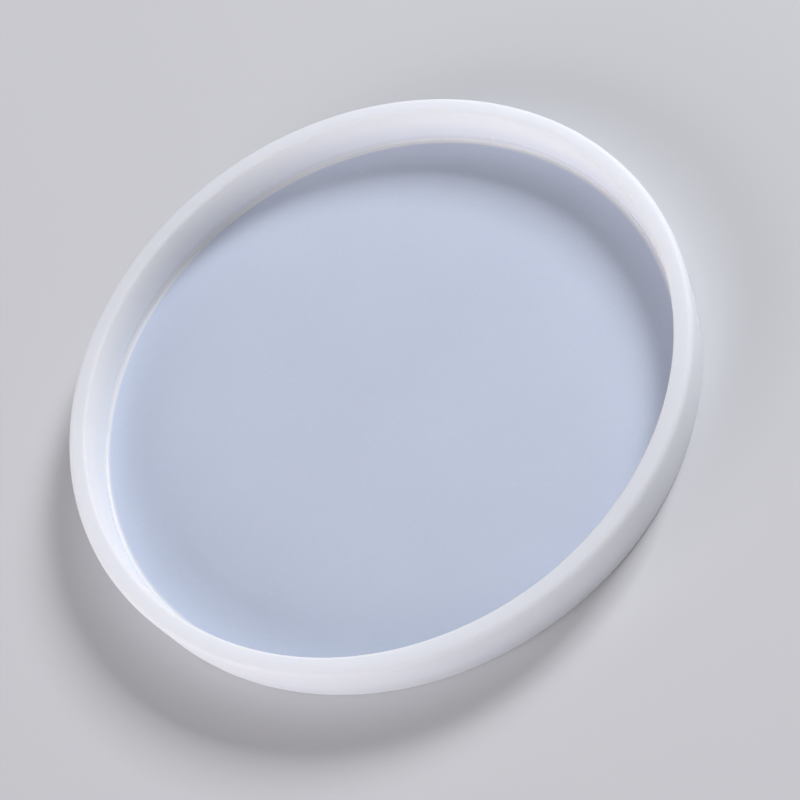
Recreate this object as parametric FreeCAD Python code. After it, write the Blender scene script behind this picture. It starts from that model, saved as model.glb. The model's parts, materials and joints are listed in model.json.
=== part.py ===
"""Round tray mould for casting resin: one piece of translucent white silicone rubber.

A flat floor carries a low round wall, and the whole is poured in one shot, so floor, wall and
rim are one solid. The cavity is open at the top, where the liquid resin goes in. Both sides of
the wall lean, so that the cured disc and the mould itself release.

Millimetres, +Z up. The origin is the centre of the underside, which lies on the bench.
"""

import math
import os

import FreeCAD
import Part

# Driving dimensions: millimetres, and degrees from the vertical for the drafts.
CAVITY_DIAMETER = 200.0  # across the cavity's mouth, level with the rim
CAVITY_DEPTH = 15.0  # from the rim down to the cavity's floor
FLOOR_THICKNESS = 3.5
RIM_WIDTH = 6.6  # flat top of the wall, before its edges are rounded
CAVITY_DRAFT = 5.0  # the cavity narrows towards its floor
OUTER_DRAFT = 5.0  # the outside narrows towards the underside
CAVITY_CORNER_RADIUS = 0.8  # where the wall meets the cavity's floor
RIM_INNER_RADIUS = 1.0
RIM_OUTER_RADIUS = 2.0
BASE_EDGE_RADIUS = 1.0

# A rounded edge takes at most this share of the flat beside it, so that a flat is always left.
MOST_ROUNDED = 0.45

# Sizes that follow from the driving dimensions.
HEIGHT = FLOOR_THICKNESS + CAVITY_DEPTH
MOUTH_RADIUS = CAVITY_DIAMETER / 2
OUTER_RADIUS = MOUTH_RADIUS + RIM_WIDTH
FLOOR_RADIUS = MOUTH_RADIUS - CAVITY_DEPTH * math.tan(math.radians(CAVITY_DRAFT))
BASE_RADIUS = OUTER_RADIUS - HEIGHT * math.tan(math.radians(OUTER_DRAFT))

AXIS_POINT = FreeCAD.Vector(0, 0, 0)
UP = FreeCAD.Vector(0, 0, 1)
FULL_TURN = 360
SAME_SIZE = 1e-4  # two lengths closer than this are the same


def turned(outline):
    """The solid that a closed outline of (radius, height) corners sweeps round the Z axis."""
    corners = [FreeCAD.Vector(radius, 0, height) for radius, height in outline]
    face = Part.Face(Part.makePolygon([*corners, corners[0]]))
    return face.revolve(AXIS_POINT, UP, FULL_TURN)


def round_edge(solid, radius, height):
    """The solid's circular edge of that radius at that height."""
    for edge in solid.Edges:
        if not isinstance(edge.Curve, Part.Circle):
            continue
        same_radius = abs(edge.Curve.Radius - radius) < SAME_SIZE
        same_height = abs(edge.Curve.Center.z - height) < SAME_SIZE
        if same_radius and same_height:
            return edge
    raise ValueError(f"no round edge of radius {radius} at height {height}")


def rounded(solid, edge_radius, height, fillet_radius, flat):
    """The solid with one circular edge rounded, by no more than its share of the flat beside it."""
    fillet = min(fillet_radius, MOST_ROUNDED * flat)
    return solid.makeFillet(fillet, [round_edge(solid, edge_radius, height)])


def mould_tray():
    """Floor, wall and rim in one solid, with its four round edges eased."""
    tray = turned(
        [
            (0, 0),
            (BASE_RADIUS, 0),
            (OUTER_RADIUS, HEIGHT),
            (MOUTH_RADIUS, HEIGHT),
            (FLOOR_RADIUS, FLOOR_THICKNESS),
            (0, FLOOR_THICKNESS),
        ]
    )
    tray = rounded(tray, FLOOR_RADIUS, FLOOR_THICKNESS, CAVITY_CORNER_RADIUS, CAVITY_DEPTH)
    tray = rounded(tray, MOUTH_RADIUS, HEIGHT, RIM_INNER_RADIUS, RIM_WIDTH)
    tray = rounded(tray, OUTER_RADIUS, HEIGHT, RIM_OUTER_RADIUS, RIM_WIDTH)
    return rounded(tray, BASE_RADIUS, 0, BASE_EDGE_RADIUS, FLOOR_THICKNESS)


def main():
    """Writes each piece to parts/ as a STEP file named for its node."""
    os.makedirs("parts", exist_ok=True)
    pieces = {"mould_tray": mould_tray()}
    for node, solid in pieces.items():
        solid.exportStep(f"parts/{node}.step")
        box = solid.optimalBoundingBox()
        print(f"{node}: {box.XLength:.2f} x {box.YLength:.2f} x {box.ZLength:.2f} mm")
        print(f"  solids {len(solid.Solids)}, valid {solid.isValid()}, {solid.Volume / 1000:.1f} ml")


main()
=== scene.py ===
"""Looks of a round tray mould for casting resin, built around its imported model.

The mould is one piece of translucent white silicone rubber: a thin flat floor, a low wall that
leans outwards and a flat rim. It is turned from its profile by a node tree whose sizes come from
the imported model, and it lies on a pale floor under soft studio light.

Laid out as an add-on and run as a script. Metres, +Z up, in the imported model's own frame.
"""

import json
import math

import bpy
from bpy.props import FloatProperty, FloatVectorProperty, IntProperty, PointerProperty
from mathutils import Matrix, Vector


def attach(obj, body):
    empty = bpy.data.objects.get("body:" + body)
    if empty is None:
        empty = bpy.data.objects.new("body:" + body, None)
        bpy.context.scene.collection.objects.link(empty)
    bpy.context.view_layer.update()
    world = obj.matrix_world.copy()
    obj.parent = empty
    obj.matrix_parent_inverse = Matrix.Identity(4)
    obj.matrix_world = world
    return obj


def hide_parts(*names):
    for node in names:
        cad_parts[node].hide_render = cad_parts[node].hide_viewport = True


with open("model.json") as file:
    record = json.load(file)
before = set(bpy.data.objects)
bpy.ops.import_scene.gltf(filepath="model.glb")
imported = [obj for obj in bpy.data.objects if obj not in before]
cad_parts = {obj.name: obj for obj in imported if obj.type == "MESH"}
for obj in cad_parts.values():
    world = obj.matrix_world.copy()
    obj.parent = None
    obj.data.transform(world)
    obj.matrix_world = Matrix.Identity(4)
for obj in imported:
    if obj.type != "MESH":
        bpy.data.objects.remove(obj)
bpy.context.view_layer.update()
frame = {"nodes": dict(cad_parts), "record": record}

bl_info = {
    "name": "Resin casting mould",
    "version": (1, 0, 0),
    "blender": (4, 5, 0),
    "location": "View3D > Sidebar > Mould",
    "description": "Builds a round silicone tray mould and the stage that it lies on",
    "category": "Object",
}

MM = 0.001
CAD_TRAY = "mould_tray"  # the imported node
BODY = "root"
PIECE = "silicone_tray"  # the piece that stands for it
SAME_LEVEL = 0.01 * MM  # two heights closer than this are one level
SENSOR_WIDTH = 36  # millimetres across the camera's sensor


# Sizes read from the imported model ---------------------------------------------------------


def mount_height(name):
    """The height of one of the record's flat faces."""
    mounts = {mount["name"]: mount for mount in frame["record"]["mounts"]}
    return mounts[name]["pos_m"][2]


def flat_edge(height, pick):
    """The smallest or largest radius, as pick is min or max, of the tray's flat at a height."""
    corners = (vertex.co for vertex in frame["nodes"][CAD_TRAY].data.vertices)
    return pick(math.hypot(p.x, p.y) for p in corners if abs(p.z - height) < SAME_LEVEL)


CAVITY_FLOOR = mount_height("cavity_floor")
RIM = mount_height("rim")


class TraySizes(bpy.types.PropertyGroup):
    """Profile of the tray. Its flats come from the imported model."""

    floor_thickness: FloatProperty(
        name="Floor thickness",
        description="Silicone under the cavity",
        default=CAVITY_FLOOR,
        unit="LENGTH",
    )
    height: FloatProperty(
        name="Height",
        description="From the underside to the top of the rim",
        default=RIM,
        unit="LENGTH",
    )
    cavity_flat: FloatProperty(
        name="Cavity flat",
        description="Radius of the cavity floor's flat, inside its rounded corner",
        default=flat_edge(CAVITY_FLOOR, max),
        unit="LENGTH",
    )
    rim_inside: FloatProperty(
        name="Rim inside",
        description="Radius where the rim's flat starts",
        default=flat_edge(RIM, min),
        unit="LENGTH",
    )
    rim_outside: FloatProperty(
        name="Rim outside",
        description="Radius where the rim's flat ends",
        default=flat_edge(RIM, max),
        unit="LENGTH",
    )
    base_flat: FloatProperty(
        name="Underside flat",
        description="Radius of the underside's flat",
        default=flat_edge(0, max),
        unit="LENGTH",
    )
    draft: FloatProperty(
        name="Draft",
        description="How far both sides of the wall lean from the vertical",
        default=math.radians(5),
        subtype="ANGLE",
    )
    cavity_corner: FloatProperty(
        name="Cavity corner",
        description="Radius between the cavity's floor and wall",
        default=0.8 * MM,
        unit="LENGTH",
    )
    rim_inner_corner: FloatProperty(
        name="Rim inner corner",
        description="Radius of the rim's inner edge",
        default=1.0 * MM,
        unit="LENGTH",
    )
    rim_outer_corner: FloatProperty(
        name="Rim outer corner",
        description="Radius of the rim's outer edge",
        default=2.0 * MM,
        unit="LENGTH",
    )
    base_corner: FloatProperty(
        name="Base corner",
        description="Radius of the underside's edge",
        default=1.0 * MM,
        unit="LENGTH",
    )
    corner_steps: IntProperty(
        name="Corner steps",
        description="Points along each rounded corner",
        default=8,
        min=2,
    )
    ring_spacing: FloatProperty(
        name="Ring spacing",
        description="Longest distance between two rings of points",
        default=5 * MM,
        unit="LENGTH",
    )
    segments: IntProperty(
        name="Segments",
        description="Points round the tray",
        default=320,
        min=24,
    )
    waviness: FloatProperty(
        name="Waviness",
        description="How far the soft rubber sinks below its true surface",
        default=0.12 * MM,
        unit="LENGTH",
    )
    wave_length: FloatProperty(
        name="Wave length",
        description="Distance between the dips",
        default=60 * MM,
        unit="LENGTH",
    )


class SiliconeLook(bpy.types.PropertyGroup):
    """Finish of the silicone rubber."""

    thick_colour: FloatVectorProperty(
        name="Thick colour",
        description="Colour where the rubber is as deep as the wall",
        default=(0.855, 0.875, 0.93),
        size=3,
        min=0,
        max=1,
        subtype="COLOR",
    )
    thin_colour: FloatVectorProperty(
        name="Thin colour",
        description="Colour of the thin floor, which lets more light away",
        default=(0.68, 0.735, 0.835),
        size=3,
        min=0,
        max=1,
        subtype="COLOR",
    )
    # Painted highlight: a lighter line along the corner between floor and wall, standing in for
    # the light that the rounded corner catches.
    corner_colour: FloatVectorProperty(
        name="Corner colour",
        description="Colour of the deep rubber in the corner between floor and wall",
        default=(0.93, 0.95, 0.98),
        size=3,
        min=0,
        max=1,
        subtype="COLOR",
    )
    # Painted light: the inner wall's top is made lighter, standing in for light that reaches it
    # through the rim.
    wall_top_colour: FloatVectorProperty(
        name="Wall top colour",
        description="Colour of the inner wall's top, which light reaches through the rim too",
        default=(0.965, 0.98, 1.0),
        size=3,
        min=0,
        max=1,
        subtype="COLOR",
    )
    wall_scatter: FloatProperty(
        name="Wall scatter",
        description="How far light spreads inside the wall",
        default=11 * MM,
        unit="LENGTH",
    )
    floor_scatter: FloatProperty(
        name="Floor scatter",
        description="How far it spreads inside the thin floor",
        default=1.2 * MM,
        unit="LENGTH",
    )
    polished_roughness: FloatProperty(
        name="Polished roughness",
        description="Roughness of the cavity's floor, which gives castings their gloss",
        default=0.26,
        min=0,
        max=1,
        subtype="FACTOR",
    )
    satin_roughness: FloatProperty(
        name="Satin roughness",
        description="Roughness of the wall, the rim and the outside",
        default=0.55,
        min=0,
        max=1,
        subtype="FACTOR",
    )
    speck_spacing: FloatProperty(
        name="Speck spacing",
        description="Usual distance between two tiny bubbles in the floor",
        default=26 * MM,
        unit="LENGTH",
    )
    speck_radius: FloatProperty(
        name="Speck radius",
        description="Radius of a tiny bubble",
        default=0.35 * MM,
        unit="LENGTH",
    )
    speck_lift: FloatProperty(
        name="Speck lift",
        description="How much lighter a tiny bubble is than the floor",
        default=0.12,
        min=0,
        subtype="FACTOR",
    )
    cloud_size: FloatProperty(
        name="Cloud size",
        description="Width of the faint clouds in the rubber",
        default=45 * MM,
        unit="LENGTH",
    )
    cloud_contrast: FloatProperty(
        name="Cloud contrast",
        description="Difference between the lightest and darkest clouds",
        default=0.06,
        min=0,
        subtype="FACTOR",
    )
    grain_size: FloatProperty(
        name="Grain size",
        description="Width of the grain of the satin surface",
        default=0.9 * MM,
        unit="LENGTH",
    )
    grain_roughness: FloatProperty(
        name="Grain roughness",
        description="How much the grain changes the roughness",
        default=0.10,
        min=0,
        subtype="FACTOR",
    )
    grain_share: FloatProperty(
        name="Grain share",
        description="Height of the grain, as a share of a bubble's",
        default=0.05,
        min=0,
        subtype="FACTOR",
    )
    relief_height: FloatProperty(
        name="Relief height",
        description="Height of a tiny bubble",
        default=0.1 * MM,
        unit="LENGTH",
    )
    relief_strength: FloatProperty(
        name="Relief strength",
        description="How clearly the bubbles and the grain show",
        default=0.3,
        min=0,
        subtype="FACTOR",
    )
    scatter_shares: FloatVectorProperty(
        name="Scatter shares",
        description="How far red, green and blue light spread, against each other",
        default=(1.06, 1.0, 0.95),
        size=3,
        min=0,
    )
    refraction: FloatProperty(
        name="Refraction",
        description="Index of refraction of silicone rubber",
        default=1.41,
        min=1,
    )


class StageSetup(bpy.types.PropertyGroup):
    """Floor, lights and camera."""

    floor_colour: FloatVectorProperty(
        name="Floor colour",
        description="Colour of the pale floor",
        default=(0.72, 0.72, 0.72),
        size=3,
        min=0,
        max=1,
        subtype="COLOR",
    )
    floor_size: FloatProperty(
        name="Floor size",
        description="Side of the floor",
        default=12,
        unit="LENGTH",
    )
    light_distance: FloatProperty(
        name="Light distance",
        description="How far every light stands from the mould",
        default=2.4,
        unit="LENGTH",
    )
    key_power: FloatProperty(
        name="Key power",
        description="Power of the light that throws the shadow of the rim",
        default=48.5,
        unit="POWER",
    )
    key_colour: FloatVectorProperty(
        name="Key colour",
        description="Its colour, a little cooler than white",
        default=(0.955, 0.975, 1.05),
        size=3,
        min=0,
        soft_max=1,
        subtype="COLOR",
    )
    key_size: FloatProperty(
        name="Key size",
        description="Side of its square lamp",
        default=0.8,
        unit="LENGTH",
    )
    key_azimuth: FloatProperty(
        name="Key azimuth",
        description="Its direction, anticlockwise from +X",
        default=math.radians(25),
        subtype="ANGLE",
    )
    key_elevation: FloatProperty(
        name="Key elevation",
        description="Its height above the floor, as an angle",
        default=math.radians(34),
        subtype="ANGLE",
    )
    side_power: FloatProperty(
        name="Side power",
        description="Power of the low light on the other side",
        default=44,
        unit="POWER",
    )
    side_colour: FloatVectorProperty(
        name="Side colour",
        description="Its colour, warmer than the key's",
        default=(0.995, 0.96, 1.02),
        size=3,
        min=0,
        soft_max=1,
        subtype="COLOR",
    )
    side_size: FloatProperty(
        name="Side size",
        description="Side of its square lamp",
        default=1.92,
        unit="LENGTH",
    )
    side_azimuth: FloatProperty(
        name="Side azimuth",
        description="Its direction, anticlockwise from +X",
        default=math.radians(192),
        subtype="ANGLE",
    )
    side_elevation: FloatProperty(
        name="Side elevation",
        description="Its height above the floor, as an angle",
        default=math.radians(16),
        subtype="ANGLE",
    )
    front_power: FloatProperty(
        name="Front power",
        description="Power of the fill light behind the camera",
        default=11.5,
        unit="POWER",
    )
    front_colour: FloatVectorProperty(
        name="Front colour",
        description="Its colour, warmer than the key's",
        default=(0.985, 0.965, 1.02),
        size=3,
        min=0,
        soft_max=1,
        subtype="COLOR",
    )
    front_size: FloatProperty(
        name="Front size",
        description="Side of its square lamp",
        default=2.64,
        unit="LENGTH",
    )
    front_azimuth: FloatProperty(
        name="Front azimuth",
        description="Its direction, anticlockwise from +X",
        default=math.radians(262),
        subtype="ANGLE",
    )
    front_elevation: FloatProperty(
        name="Front elevation",
        description="Its height above the floor, as an angle",
        default=math.radians(42),
        subtype="ANGLE",
    )
    ambient: FloatProperty(
        name="Ambient",
        description="Strength of the light from all round",
        default=0.09,
    )
    camera_elevation: FloatProperty(
        name="Camera elevation",
        description="How steeply the camera looks down",
        default=math.radians(54.49),
        subtype="ANGLE",
    )
    camera_roll: FloatProperty(
        name="Camera roll",
        description="How far the camera is turned about its own line of sight",
        default=math.radians(-34.05),
        subtype="ANGLE",
    )
    camera_distance: FloatProperty(
        name="Camera distance",
        description="Distance from the centre of the underside, along the line of sight",
        default=0.9797,
        unit="LENGTH",
    )
    camera_right: FloatProperty(
        name="Camera right",
        description="How far the camera stands to its own right of that centre",
        default=3.47 * MM,
        unit="LENGTH",
    )
    camera_up: FloatProperty(
        name="Camera up",
        description="How far it stands above that centre, along its own up",
        default=-0.07 * MM,
        unit="LENGTH",
    )
    focal_length: FloatProperty(
        name="Focal length",
        description="Focal length on a 36 mm sensor",
        default=135,
        unit="CAMERA",
    )


# Node helpers -----------------------------------------------------------------------------


def add_node(tree, kind, settings=None, **inputs):
    """A new node with these settings. Inputs are named by socket, spaces written as _."""
    node = tree.nodes.new(kind)
    for key, value in (settings or {}).items():
        setattr(node, key, value)
    for key, value in inputs.items():
        connect(tree, node.inputs[key.replace("_", " ")], value)
    return node


def connect(tree, socket, value):
    """Links a socket to another one, or sets it to a plain value."""
    if isinstance(value, bpy.types.NodeSocket):
        tree.links.new(value, socket)
    else:
        socket.default_value = value


def maths(tree, operation, first, second=None, third=None):
    """The result of a Math node. The kind of tree doesn't matter."""
    node = tree.nodes.new("ShaderNodeMath")
    node.operation = operation
    for socket, value in zip(node.inputs, (first, second, third)):
        if value is not None:
            connect(tree, socket, value)
    return node.outputs[0]


def vector_maths(tree, operation, first, second=None):
    """The node of a vector operation between two vectors, or a vector and a scale."""
    node = tree.nodes.new("ShaderNodeVectorMath")
    node.operation = operation
    connect(tree, node.inputs[0], first)
    if second is not None:
        connect(tree, node.inputs["Scale" if operation == "SCALE" else 1], second)
    return node


# The tray's shape -------------------------------------------------------------------------


WAVE_DETAIL = 1.0  # finer waves on the large ones

SHAPE_INPUTS = {
    "Base radius": "NodeSocketFloat",
    "Outer radius": "NodeSocketFloat",
    "Mouth radius": "NodeSocketFloat",
    "Cavity radius": "NodeSocketFloat",
    "Height": "NodeSocketFloat",
    "Floor thickness": "NodeSocketFloat",
    "Base corner": "NodeSocketFloat",
    "Rim outer corner": "NodeSocketFloat",
    "Rim inner corner": "NodeSocketFloat",
    "Cavity corner": "NodeSocketFloat",
    "Corner steps": "NodeSocketInt",
    "Ring spacing": "NodeSocketFloat",
    "Segments": "NodeSocketInt",
    "Waviness": "NodeSocketFloat",
    "Wave length": "NodeSocketFloat",
    "Material": "NodeSocketMaterial",
}


def turned_tray_tree():
    """Node tree that turns a profile of six corners into a closed tray."""
    tree = bpy.data.node_groups.new("turned_tray", "GeometryNodeTree")
    for name, kind in SHAPE_INPUTS.items():
        tree.interface.new_socket(name=name, in_out="INPUT", socket_type=kind)
    tree.interface.new_socket(
        name="Tray", in_out="OUTPUT", socket_type="NodeSocketGeometry"
    )
    given = tree.nodes.new("NodeGroupInput").outputs
    profile = profile_curve(tree, given)
    spaced = spaced_curve(tree, profile, given["Ring spacing"])
    path = add_node(
        tree,
        "GeometryNodeCurvePrimitiveCircle",
        Resolution=given["Segments"],
        Radius=given["Outer radius"],
    )
    swept = add_node(
        tree,
        "GeometryNodeCurveToMesh",
        Curve=path.outputs["Curve"],
        Profile_Curve=spaced,
    )
    closed = add_node(
        tree,
        "GeometryNodeMergeByDistance",
        Geometry=swept.outputs["Mesh"],
        Distance=SAME_LEVEL,
    )
    outwards = add_node(
        tree, "GeometryNodeFlipFaces", Mesh=closed.outputs["Geometry"]
    ).outputs["Mesh"]
    soft = waved(tree, outwards, given)
    smooth = add_node(tree, "GeometryNodeSetShadeSmooth", Geometry=soft)
    real = add_node(
        tree, "GeometryNodeRealizeInstances", Geometry=smooth.outputs["Geometry"]
    )
    finished = add_node(
        tree,
        "GeometryNodeSetMaterial",
        Geometry=real.outputs["Geometry"],
        Material=given["Material"],
    )
    out = tree.nodes.new("NodeGroupOutput")
    tree.links.new(finished.outputs["Geometry"], out.inputs["Tray"])
    return tree


def profile_curve(tree, given):
    """The profile from the underside's centre, round the wall, to the middle of the cavity.

    The path it is swept along has the outer radius, so the profile is drawn from there."""
    corners = (
        (0.0, 0.0, 0.0),
        (given["Base radius"], 0.0, given["Base corner"]),
        (given["Outer radius"], given["Height"], given["Rim outer corner"]),
        (given["Mouth radius"], given["Height"], given["Rim inner corner"]),
        (given["Cavity radius"], given["Floor thickness"], given["Cavity corner"]),
        (0.0, given["Floor thickness"], 0.0),
    )
    places = index_switch(tree, "VECTOR", len(corners))
    roundings = index_switch(tree, "FLOAT", len(corners))
    for number, (radius, height, rounding) in enumerate(corners):
        across = maths(tree, "SUBTRACT", radius, given["Outer radius"])
        down = maths(tree, "MULTIPLY", height, -1.0)
        place = add_node(tree, "ShaderNodeCombineXYZ", X=across, Y=down)
        connect(tree, places.inputs[str(number)], place.outputs["Vector"])
        connect(tree, roundings.inputs[str(number)], rounding)
    points = add_node(tree, "GeometryNodeMeshLine", Count=len(corners))
    placed = add_node(
        tree,
        "GeometryNodeSetPosition",
        Geometry=points.outputs["Mesh"],
        Position=places.outputs["Output"],
    )
    curve = add_node(tree, "GeometryNodeMeshToCurve", Mesh=placed.outputs["Geometry"])
    rounded = add_node(
        tree,
        "GeometryNodeFilletCurve",
        {"mode": "POLY"},
        Curve=curve.outputs["Curve"],
        Count=given["Corner steps"],
        Radius=roundings.outputs["Output"],
    )
    return rounded.outputs["Curve"]


def index_switch(tree, kind, count):
    """An Index Switch with that many items, read by each point's own index."""
    switch = add_node(tree, "GeometryNodeIndexSwitch", {"data_type": kind})
    while len(switch.index_switch_items) < count:
        switch.index_switch_items.new()
    index = tree.nodes.new("GeometryNodeInputIndex")
    tree.links.new(index.outputs["Index"], switch.inputs["Index"])
    return switch


def spaced_curve(tree, curve, spacing):
    """The curve with points added, so that no two neighbours are further apart than spacing."""
    here = tree.nodes.new("GeometryNodeInputPosition").outputs["Position"]
    following = add_node(tree, "GeometryNodeOffsetPointInCurve", Offset=1)
    there = add_node(
        tree,
        "GeometryNodeFieldAtIndex",
        {"data_type": "FLOAT_VECTOR", "domain": "POINT"},
        Index=following.outputs["Point Index"],
        Value=here,
    )
    gap = vector_maths(tree, "DISTANCE", here, there.outputs["Value"]).outputs["Value"]
    cuts = maths(tree, "FLOOR", maths(tree, "DIVIDE", gap, spacing))
    return add_node(
        tree, "GeometryNodeSubdivideCurve", Curve=curve, Cuts=cuts
    ).outputs["Curve"]


def waved(tree, mesh, given):
    """The surface sunk a little and unevenly along its normal. The underside stays flat."""
    place = tree.nodes.new("GeometryNodeInputPosition").outputs["Position"]
    normal = tree.nodes.new("GeometryNodeInputNormal").outputs["Normal"]
    noise = add_node(
        tree,
        "ShaderNodeTexNoise",
        Vector=place,
        Scale=maths(tree, "DIVIDE", 1.0, given["Wave length"]),
        Detail=WAVE_DETAIL,
    )
    height = add_node(tree, "ShaderNodeSeparateXYZ", Vector=place).outputs["Z"]
    off_bench = maths(tree, "GREATER_THAN", height, SAME_LEVEL)
    depth = maths(tree, "MULTIPLY", noise.outputs["Fac"], given["Waviness"])
    inwards = maths(tree, "MULTIPLY", maths(tree, "MULTIPLY", depth, off_bench), -1.0)
    offset = vector_maths(tree, "SCALE", normal, inwards).outputs["Vector"]
    return add_node(
        tree, "GeometryNodeSetPosition", Geometry=mesh, Offset=offset
    ).outputs["Geometry"]


def made_by_nodes(name, tree, values):
    """A plain mesh object that a node tree makes from named values."""
    maker = bpy.data.objects.new(name, bpy.data.meshes.new(name))
    bpy.context.scene.collection.objects.link(maker)
    modifier = maker.modifiers.new("maker", "NODES")
    modifier.node_group = tree
    for item in tree.interface.items_tree:
        if item.in_out == "INPUT":
            modifier[item.identifier] = values[item.name]
    graph = bpy.context.evaluated_depsgraph_get()
    made = bpy.data.meshes.new_from_object(maker.evaluated_get(graph), depsgraph=graph)
    maker.modifiers.clear()
    maker.data = made
    made.name = name
    return maker


def tray_values(sizes, material):
    """The shape's inputs: sharp corners worked out from the flats beside them."""
    half_square = math.radians(45)
    obtuse = math.tan(half_square - sizes.draft / 2)
    acute = math.tan(half_square + sizes.draft / 2)
    return {
        "Base radius": sizes.base_flat + sizes.base_corner * obtuse,
        "Outer radius": sizes.rim_outside + sizes.rim_outer_corner * acute,
        "Mouth radius": sizes.rim_inside - sizes.rim_inner_corner * obtuse,
        "Cavity radius": sizes.cavity_flat + sizes.cavity_corner * obtuse,
        "Height": sizes.height,
        "Floor thickness": sizes.floor_thickness,
        "Base corner": sizes.base_corner,
        "Rim outer corner": sizes.rim_outer_corner,
        "Rim inner corner": sizes.rim_inner_corner,
        "Cavity corner": sizes.cavity_corner,
        "Corner steps": sizes.corner_steps,
        "Ring spacing": sizes.ring_spacing,
        "Segments": sizes.segments,
        "Waviness": sizes.waviness,
        "Wave length": sizes.wave_length,
        "Material": material,
    }


# The silicone's finish --------------------------------------------------------------------


def rise(tree, value, low, high):
    """0 below low, 1 above high, and smooth between."""
    node = add_node(
        tree,
        "ShaderNodeMapRange",
        {"interpolation_type": "SMOOTHSTEP"},
        Value=value,
        From_Min=low,
        From_Max=high,
    )
    return node.outputs["Result"]


def fall(tree, value, low, high):
    """1 below low, 0 above high, and smooth between."""
    return maths(tree, "SUBTRACT", 1.0, rise(tree, value, low, high))


def both(tree, first, second):
    """Where two masks overlap."""
    return maths(tree, "MULTIPLY", first, second)


def between(tree, mask, without, within):
    """The value without where the mask is 0 and within where it is 1."""
    node = add_node(
        tree, "ShaderNodeMapRange", Value=mask, To_Min=without, To_Max=within
    )
    return node.outputs["Result"]


def mix_colour(tree, share, first, second):
    """The colour between first and second."""
    node = add_node(tree, "ShaderNodeMix", {"data_type": "RGBA"}, Factor=share)
    colours = [socket for socket in node.inputs if socket.type == "RGBA"]
    connect(tree, colours[0], first)
    connect(tree, colours[1], second)
    return next(socket for socket in node.outputs if socket.type == "RGBA")


def noise(tree, place, size, detail):
    """Soft noise from 0 to 1 with lumps of a size."""
    node = add_node(
        tree, "ShaderNodeTexNoise", Vector=place, Scale=1 / size, Detail=detail
    )
    return node.outputs["Fac"]


def around_zero(tree, value, reach):
    """A value from 0 to 1 moved to lie around 0 and scaled to that reach."""
    return maths(tree, "MULTIPLY", maths(tree, "SUBTRACT", value, 0.5), reach)


# Widths over which one part of the surface turns into the next
THIN_EDGE = 1.3 * MM  # from the thin floor's tone to the wall's
CORNER_HIGHLIGHT_EDGE = 0.4 * MM  # from the floor to the painted highlight on the rounded corner
RIM_EDGE = 0.8 * MM  # from the cavity to the rim

# Where the parts of the surface start and end
THIN_REACH = 0.3 * MM  # how far past the cavity floor's flat the thin floor's tone goes
CORNER_HIGHLIGHT_REACH = 0.1 * MM  # how far past that flat the corner's painted highlight is full
CORNER_HIGHLIGHT_TOP = 1.6  # height above the floor where the corner's painted highlight ends, in corner radii
GLOSS_FOOT = 2 * MM  # height of the wall's foot that is as glossy as the floor
GLOSS_END = 7 * MM  # height above the floor from which the wall is satin
SCATTER_END = 5 * MM  # height above the floor from which light spreads as far as it can
WALL_TOP_START = 4 * MM  # height above the floor from which the painted light on the inner wall starts
WALL_TOP_END = 14 * MM  # height above the floor from which that painted light is full

SPECK_CORE = 0.4  # share of a tiny bubble's radius that stands at its full height
GRAIN_DETAIL = 3.0  # finer grain on the grain
CLOUD_DETAIL = 2.0  # smaller clouds on the clouds


def surface_masks(tree, place, sizes):
    """Masks of the tray's surface, by name."""
    split = add_node(tree, "ShaderNodeSeparateXYZ", Vector=place).outputs
    flat_place = add_node(tree, "ShaderNodeCombineXYZ", X=split["X"], Y=split["Y"])
    radius = vector_maths(tree, "LENGTH", flat_place.outputs["Vector"]).outputs["Value"]
    above_floor = maths(tree, "SUBTRACT", split["Z"], sizes.floor_thickness)
    thin_end = sizes.cavity_flat + THIN_REACH
    corner_highlight_start = sizes.cavity_flat + CORNER_HIGHLIGHT_REACH
    corner = sizes.cavity_corner
    rim_start = sizes.rim_inside
    half_rim_edge = RIM_EDGE / 2
    half_floor = sizes.floor_thickness / 2
    inside = both(
        tree,
        fall(tree, radius, rim_start - half_rim_edge, rim_start + half_rim_edge),
        rise(tree, above_floor, -half_floor, -half_floor / 2),
    )
    # where the painted highlight along the cavity's corner lies
    corner_highlight_band = both(
        tree,
        rise(tree, radius, corner_highlight_start - CORNER_HIGHLIGHT_EDGE, corner_highlight_start),
        fall(tree, above_floor, corner, CORNER_HIGHLIGHT_TOP * corner),
    )
    return {
        "thin": fall(tree, radius, thin_end - THIN_EDGE, thin_end),
        # the mask of the painted highlight along the corner
        "corner": both(tree, corner_highlight_band, inside),
        "polished": both(tree, inside, fall(tree, above_floor, GLOSS_FOOT, GLOSS_END)),
        "clear": rise(tree, above_floor, 0.0, SCATTER_END),
        # the mask of the painted light on the inner wall's top
        "upper_wall_painted_light": both(
            tree, inside, rise(tree, above_floor, WALL_TOP_START, WALL_TOP_END)
        ),
    }


def bubbles(tree, place, look):
    """1 in the middle of the tiny bubbles in the floor, 0 elsewhere."""
    cells = add_node(
        tree,
        "ShaderNodeTexVoronoi",
        {"voronoi_dimensions": "2D"},
        Vector=place,
        Scale=1 / look.speck_spacing,
    )
    edge = look.speck_radius / look.speck_spacing
    return fall(tree, cells.outputs["Distance"], SPECK_CORE * edge, edge)


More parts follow.
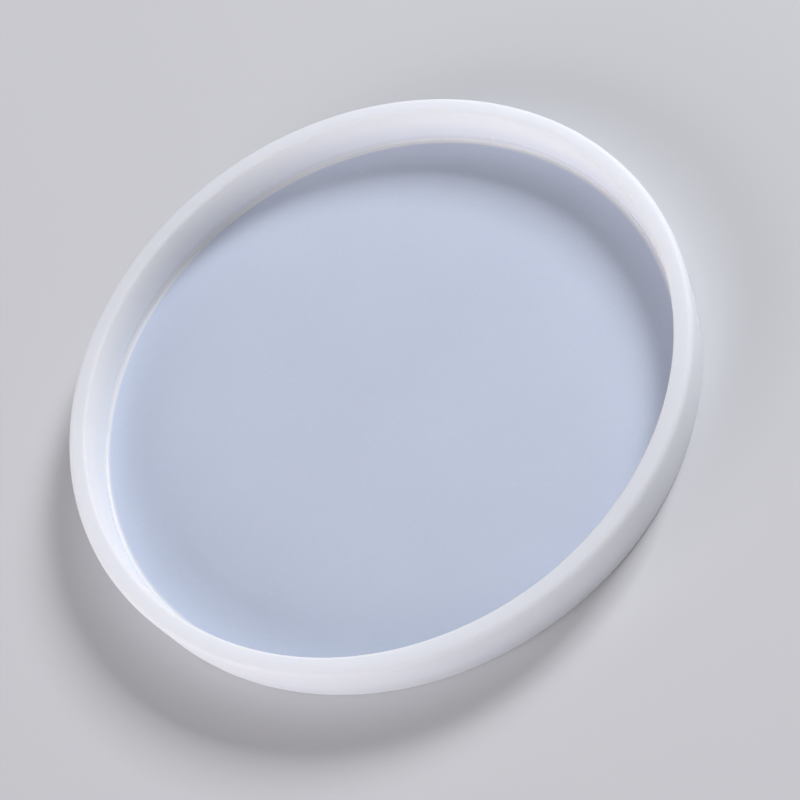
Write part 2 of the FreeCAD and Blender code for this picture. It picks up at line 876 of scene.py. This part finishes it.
def silicone(sizes, look):
    """Translucent white rubber: thin floor cooler than the wall and glossy, the rest satin."""
    material = bpy.data.materials.new("translucent_silicone")
    material.use_nodes = True
    tree = material.node_tree
    tree.nodes.clear()
    place = tree.nodes.new("ShaderNodeTexCoord").outputs["Object"]
    mask = surface_masks(tree, place, sizes)
    speck = both(tree, bubbles(tree, place, look), mask["polished"])
    grain = noise(tree, place, look.grain_size, GRAIN_DETAIL)
    cloud = noise(tree, place, look.cloud_size, CLOUD_DETAIL)

    base = mix_colour(
        tree, mask["thin"], (*look.thick_colour, 1), (*look.thin_colour, 1)
    )
    # painted highlight: a lighter line along the corner between floor and wall
    base = mix_colour(tree, mask["corner"], base, (*look.corner_colour, 1))
    # painted light: the inner wall lighter towards its top
    base = mix_colour(tree, mask["upper_wall_painted_light"], base, (*look.wall_top_colour, 1))
    lift = maths(
        tree,
        "ADD",
        around_zero(tree, cloud, look.cloud_contrast),
        maths(tree, "MULTIPLY", speck, look.speck_lift),
    )
    tinted = add_node(
        tree, "ShaderNodeHueSaturation", Color=base, Value=maths(tree, "ADD", lift, 1.0)
    )
    roughness = maths(
        tree,
        "ADD",
        between(tree, mask["polished"], look.satin_roughness, look.polished_roughness),
        around_zero(tree, grain, look.grain_roughness),
    )
    satin = maths(tree, "SUBTRACT", 1.0, mask["polished"])
    grain_height = maths(tree, "MULTIPLY", both(tree, grain, satin), look.grain_share)
    bump = add_node(
        tree,
        "ShaderNodeBump",
        Strength=look.relief_strength,
        Distance=look.relief_height,
        Height=maths(tree, "ADD", grain_height, speck),
    )
    shader = add_node(
        tree,
        "ShaderNodeBsdfPrincipled",
        {"subsurface_method": "RANDOM_WALK"},
        Base_Color=tinted.outputs["Color"],
        Roughness=roughness,
        IOR=look.refraction,
        Normal=bump.outputs["Normal"],
        Subsurface_Weight=1.0,
        Subsurface_Radius=look.scatter_shares,
        Subsurface_Scale=between(
            tree, mask["clear"], look.floor_scatter, look.wall_scatter
        ),
    )
    out = tree.nodes.new("ShaderNodeOutputMaterial")
    tree.links.new(shader.outputs["BSDF"], out.inputs["Surface"])
    return material


class MOULD_OT_add_tray(bpy.types.Operator):
    """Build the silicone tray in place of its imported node"""

    bl_idname = "mould.add_tray"
    bl_label = "Add silicone tray"

    def execute(self, context):
        sizes = context.scene.mould_tray_sizes
        material = silicone(sizes, context.scene.mould_silicone)
        tray = made_by_nodes(
            PIECE, turned_tray_tree(), tray_values(sizes, material)
        )
        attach(tray, BODY)
        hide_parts(CAD_TRAY)
        return {"FINISHED"}


# The stage --------------------------------------------------------------------------------


def direction(azimuth, elevation):
    """Unit vector at an azimuth anticlockwise from +X and an elevation above the floor."""
    level = math.cos(elevation)
    return Vector(
        (level * math.cos(azimuth), level * math.sin(azimuth), math.sin(elevation))
    )


def stage_floor(setup):
    """A plain matt floor just under the mould."""
    half = setup.floor_size / 2
    mesh = bpy.data.meshes.new("stage_floor")
    corners = [(-half, -half), (half, -half), (half, half), (-half, half)]
    mesh.from_pydata([(x, y, -SAME_LEVEL) for x, y in corners], [], [(0, 1, 2, 3)])
    material = bpy.data.materials.new("pale_floor")
    material.use_nodes = True
    shader = material.node_tree.nodes["Principled BSDF"]
    shader.inputs["Base Color"].default_value = (*setup.floor_colour, 1)
    shader.inputs["Roughness"].default_value = 1
    shader.inputs["Specular IOR Level"].default_value = 0
    mesh.materials.append(material)
    floor = bpy.data.objects.new("stage_floor", mesh)
    bpy.context.scene.collection.objects.link(floor)


def soft_light(setup, name):
    """One of the square area lights, facing the middle of the mould."""
    light = bpy.data.lights.new(f"{name}_light", "AREA")
    light.shape = "SQUARE"
    light.color = getattr(setup, f"{name}_colour")
    light.energy = getattr(setup, f"{name}_power")
    light.size = getattr(setup, f"{name}_size")
    towards = direction(
        getattr(setup, f"{name}_azimuth"), getattr(setup, f"{name}_elevation")
    )
    holder = bpy.data.objects.new(light.name, light)
    holder.location = towards * setup.light_distance
    holder.rotation_mode = "QUATERNION"
    holder.rotation_quaternion = towards.to_track_quat("Z", "Y")
    bpy.context.scene.collection.objects.link(holder)


def camera(setup):
    """The camera, looking down along +Y and turned about its own line of sight."""
    tilt = Matrix.Rotation(math.radians(90) - setup.camera_elevation, 4, "X")
    turn = tilt @ Matrix.Rotation(setup.camera_roll, 4, "Z")
    stand = Vector((setup.camera_right, setup.camera_up, setup.camera_distance))
    data = bpy.data.cameras.new("camera")
    data.sensor_width = SENSOR_WIDTH
    data.lens = setup.focal_length
    holder = bpy.data.objects.new("camera", data)
    holder.matrix_world = Matrix.Translation(turn @ stand) @ turn
    bpy.context.scene.collection.objects.link(holder)
    bpy.context.scene.camera = holder


class MOULD_OT_add_stage(bpy.types.Operator):
    """Add the pale floor, the soft lights and the camera"""

    bl_idname = "mould.add_stage"
    bl_label = "Add stage"

    def execute(self, context):
        setup = context.scene.mould_stage
        stage_floor(setup)
        for name in ("key", "side", "front"):
            soft_light(setup, name)
        world = bpy.data.worlds.new("soft_studio")
        world.use_nodes = True
        background = world.node_tree.nodes["Background"]
        background.inputs["Color"].default_value = (1, 1, 1, 1)
        background.inputs["Strength"].default_value = setup.ambient
        context.scene.world = world
        context.scene.view_settings.view_transform = "Standard"
        camera(setup)
        return {"FINISHED"}


class MOULD_PT_sidebar(bpy.types.Panel):
    """Sizes, finish and stage of the mould"""

    bl_idname = "MOULD_PT_sidebar"
    bl_label = "Resin casting mould"
    bl_space_type = "VIEW_3D"
    bl_region_type = "UI"
    bl_category = "Mould"

    def draw(self, context):
        for group, operator in (
            (context.scene.mould_tray_sizes, None),
            (context.scene.mould_silicone, MOULD_OT_add_tray),
            (context.scene.mould_stage, MOULD_OT_add_stage),
        ):
            box = self.layout.box()
            for name in group.__annotations__:
                box.prop(group, name)
            if operator:
                self.layout.operator(operator.bl_idname)


CLASSES = (
    TraySizes,
    SiliconeLook,
    StageSetup,
    MOULD_OT_add_tray,
    MOULD_OT_add_stage,
    MOULD_PT_sidebar,
)


def register():
    for cls in CLASSES:
        bpy.utils.register_class(cls)
    bpy.types.Scene.mould_tray_sizes = PointerProperty(type=TraySizes)
    bpy.types.Scene.mould_silicone = PointerProperty(type=SiliconeLook)
    bpy.types.Scene.mould_stage = PointerProperty(type=StageSetup)


def unregister():
    del bpy.types.Scene.mould_stage
    del bpy.types.Scene.mould_silicone
    del bpy.types.Scene.mould_tray_sizes
    for cls in reversed(CLASSES):
        bpy.utils.unregister_class(cls)


def main():
    register()
    bpy.ops.mould.add_tray()
    bpy.ops.mould.add_stage()


if __name__ == "__main__":
    main()
